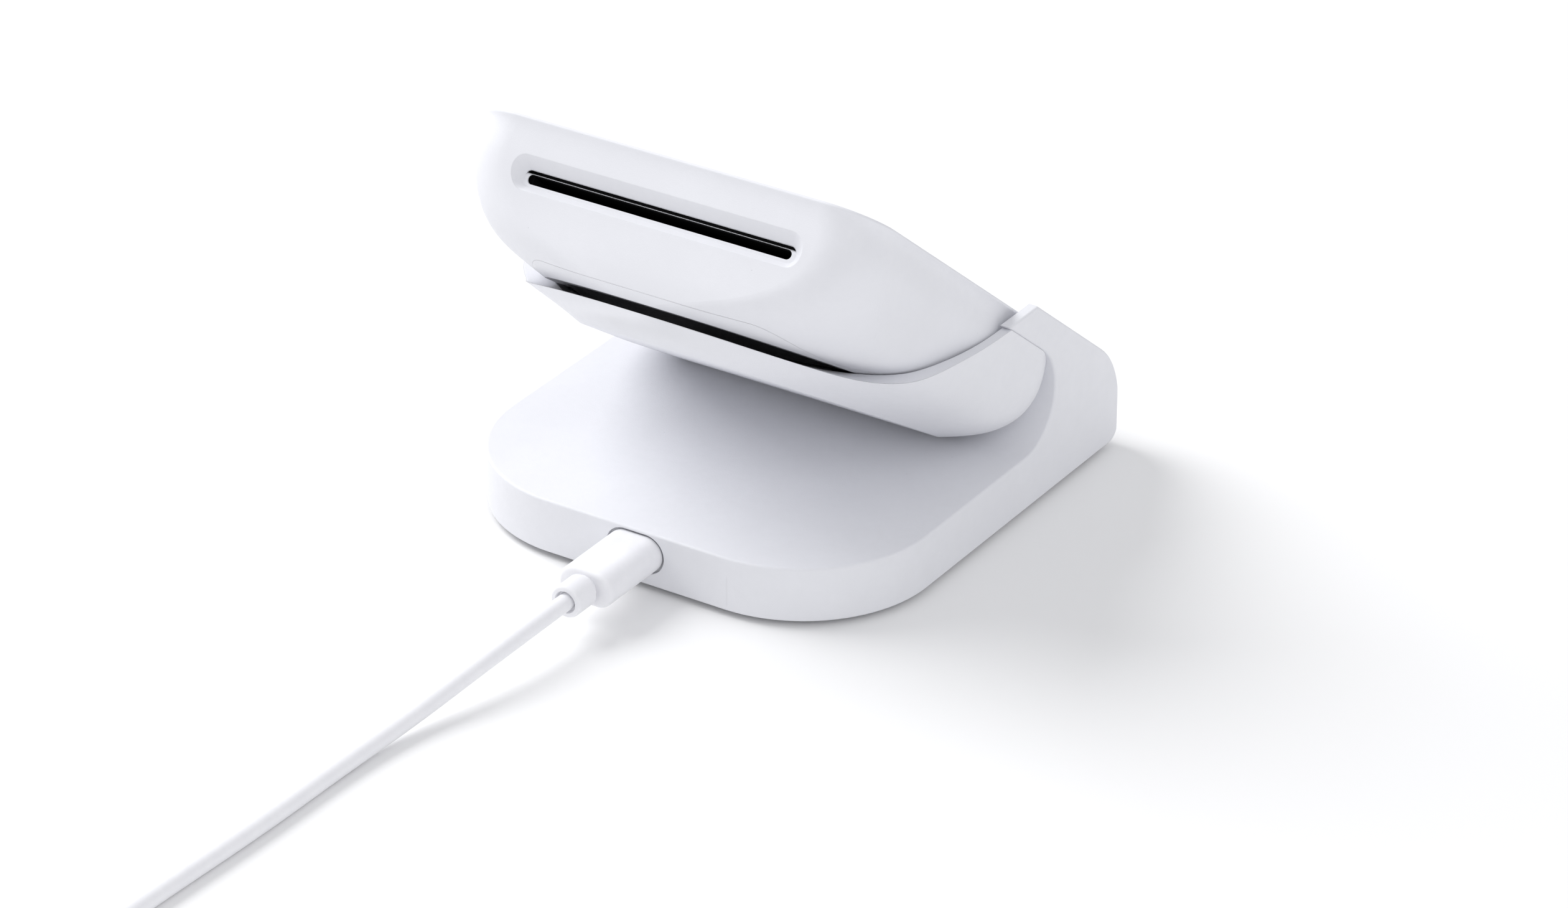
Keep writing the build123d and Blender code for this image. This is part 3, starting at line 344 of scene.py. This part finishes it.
WHITE = (0.805, 0.81, 0.845)
dock_white = moulded("dock_white", WHITE, 0.52, 0.32, 0.010, seam=(-19.6, 44.0, 2.0, 8.6))
reader_white = moulded("reader_white", (0.805, 0.81, 0.847), 0.47, 0.26, 0.007)
# reader underside: near-black below the skirt plane is painted shade for the gap between reader and cradle
reader_under = moulded(
    "reader_under", (0.805, 0.81, 0.847), 0.47, 0.26, 0.007,
    under=((0.0, 52.025, 61.117), (0.0, -0.5570, 0.8305), (0.03, 0.03, 0.033)),
)
plate_grey = moulded("plate_grey", (0.66, 0.66, 0.69), 0.55, 0.4, 0.014, tone=0.05)
# the pad's near-black colour is painted shade, so the gap between reader and cradle reads dark
pad_silicone = rubbery("pad_silicone", (0.045, 0.045, 0.048), 0.6, 0.3, 0.008)
foot_rubber = rubbery("foot_rubber", (0.035, 0.035, 0.038), 0.72, 0.35, 0.02, tone=0.10)
lead_white = rubbery("lead_white", (0.85, 0.85, 0.88), 0.46, 0.30, 0.005, tone=0.25)
tie_grey = rubbery("tie_grey", (0.36, 0.37, 0.39), 0.5, 0.5, 0.01)
black_plastic = moulded("black_plastic", (0.022, 0.022, 0.024), 0.45, 0.2, 0.010, tone=0.3, specks=False)
guide_black = moulded("guide_black", (0.009, 0.009, 0.010), 0.78, 0.25, 0.012, gloss=0.12, tone=0.3, specks=False)
steel = metal("steel", (0.58, 0.59, 0.61), 0.32, 0.35)
gold = metal("gold", (0.86, 0.66, 0.30), 0.22, 0.2, dull=0.15)
ferrite = moulded("ferrite", (0.055, 0.055, 0.06), 0.5, 0.15, 0.01, tone=0.3, specks=False)
board_green = board("board_green", (0.02, 0.14, 0.065))
board_read = board("board_green_sloped", (0.02, 0.14, 0.065), turn=(-39, 0, 0))
copper = film("copper", (0.45, 0.20, 0.08), 1.5, band_colour=(0.86, 0.50, 0.28))
ribbon_amber = film("ribbon_amber", (0.55, 0.27, 0.05), 1.0)


def foil():
    f = Finish("battery_foil")
    creases = f.cells(6.0, feature="DISTANCE_TO_EDGE")
    f.bump((f.noise(9.0, 3.0), 0.12), (f.map(creases, 0.0, 0.08, 1.0, 0.0), 0.03), (f.waves(0.5, 2.0), 0.004), normal=soft_round(f, 0.3))
    tint = f.blend(f.map(f.noise(5.0, 3.0), 0.3, 0.7, 0.0, 1.0), (0.66, 0.67, 0.70), (0.78, 0.79, 0.81))
    return f.set(colour=tint, metal=1.0, rough=f.map(f.noise(0.6, 3.0), 0.3, 0.7, 0.28, 0.42))


def clear(name, colour, rough):
    f = Finish(name)
    frost = f.noise(0.3, 3.0)
    f.bump((f.noise(2.0, 1.0), 0.01), (frost, 0.004))
    tint = f.blend(f.map(f.noise(3.0, 2.0), 0.3, 0.7, 0.0, 1.0), colour, tuple(c * 0.93 for c in colour))
    return f.set(colour=tint, rough=f.map(frost, 0.3, 0.7, rough, rough + 0.15), through=0.75, ior=1.49)


def lamp():
    f = Finish("led_white")
    dome = f.cells(0.8)
    tint = f.blend(f.map(dome, 0.2, 0.6, 0.0, 1.0), (0.92, 0.80, 0.30), (0.93, 0.92, 0.86))
    f.bump((f.noise(0.5, 2.0), 0.01), (dome, 0.05))
    return f.set(colour=tint, rough=f.map(dome, 0.0, 1.0, 0.25, 0.4), coat=0.4)


battery_foil = foil()
clear_light = clear("clear_light", (0.90, 0.91, 0.93), 0.12)
led_white = lamp()

WEARS = {
    "dock_shell": dock_white, "cradle": dock_white, "reader_housing": reader_white, "reader_bottom": reader_under,
    "power_button": reader_white, "rubber_foot": foot_rubber, "bottom_plate": plate_grey, "bottom_screws": steel,
    "board_screws": steel, "cradle_screws": steel, "reader_screws": steel, "ballast_plate": steel,
    "dock_board": board_green, "led_board": board_read, "main_board": board_read, "port_shell": steel,
    "port_tongue": black_plastic, "contact_block": black_plastic, "contact_pins": gold, "charge_pads": gold,
    "cradle_pad": pad_silicone, "contact_ribbon": ribbon_amber, "card_guide": guide_black,
    "contact_carrier": black_plastic, "card_contacts": gold, "shield_can": steel, "battery": battery_foil,
    "nfc_antenna": copper, "ferrite_sheet": ferrite, "light_guide": clear_light, "status_leds": led_white,
    "buzzer": black_plastic, "button_switch": black_plastic, "plug_tip": steel, "plug_body": lead_white,
    "strain_relief": lead_white, "cable_tie": tie_grey, "usb_body": lead_white, "usb_shell": steel,
    "usb_insert": black_plastic,
}
for name, node in nodes.items():
    if name in WEARS:
        node.data.materials.clear()
        node.data.materials.append(WEARS[name])
lead.data.materials.append(lead_white)


# ------------------------------------------------------------------ studio
def make_floor():
    mesh = bpy.data.meshes.new("studio_floor")
    floor = bpy.data.objects.new("studio_floor", mesh)
    scene.collection.objects.link(floor)
    made = bmesh.new()
    bmesh.ops.create_grid(made, x_segments=8, y_segments=8, size=4.0)
    made.to_mesh(mesh)
    made.free()
    f = Finish("studio_floor")
    tint = f.blend(f.map(f.noise(400.0, 2.0), 0.3, 0.7, 0.0, 1.0), (0.92, 0.92, 0.92), (0.94, 0.94, 0.94))
    mesh.materials.append(f.set(colour=tint, rough=0.85, gloss=0.1))


def area(name, at, aim, size, watts, colour=(1, 1, 1)):
    data = bpy.data.lights.new(name, "AREA")
    data.shape = "DISK"
    data.size = size
    data.energy = watts
    data.color = colour
    light = bpy.data.objects.new(name, data)
    scene.collection.objects.link(light)
    light.location = at
    light.rotation_mode = "QUATERNION"
    light.rotation_quaternion = (Vector(aim) - Vector(at)).to_track_quat("-Z", "Y")


def make_studio():
    make_floor()
    world = bpy.data.worlds.new("studio_world")
    scene.world = world
    world.use_nodes = True
    ground = world.node_tree.nodes["Background"]
    ground.inputs["Color"].default_value = (0.97, 0.975, 1.0, 1.0)
    ground.inputs["Strength"].default_value = 0.62
    area("softbox_fill", (-1.00, 0.55, 0.85), (0, 0, 0.02), 1.0, 3.4)
    area("softbox_key", (1.10, 0.06, 1.05), (0, 0, 0.02), 1.10, 17.5)
    scene.view_settings.view_transform = "Standard"
    scene.view_settings.look = "None"


make_studio()
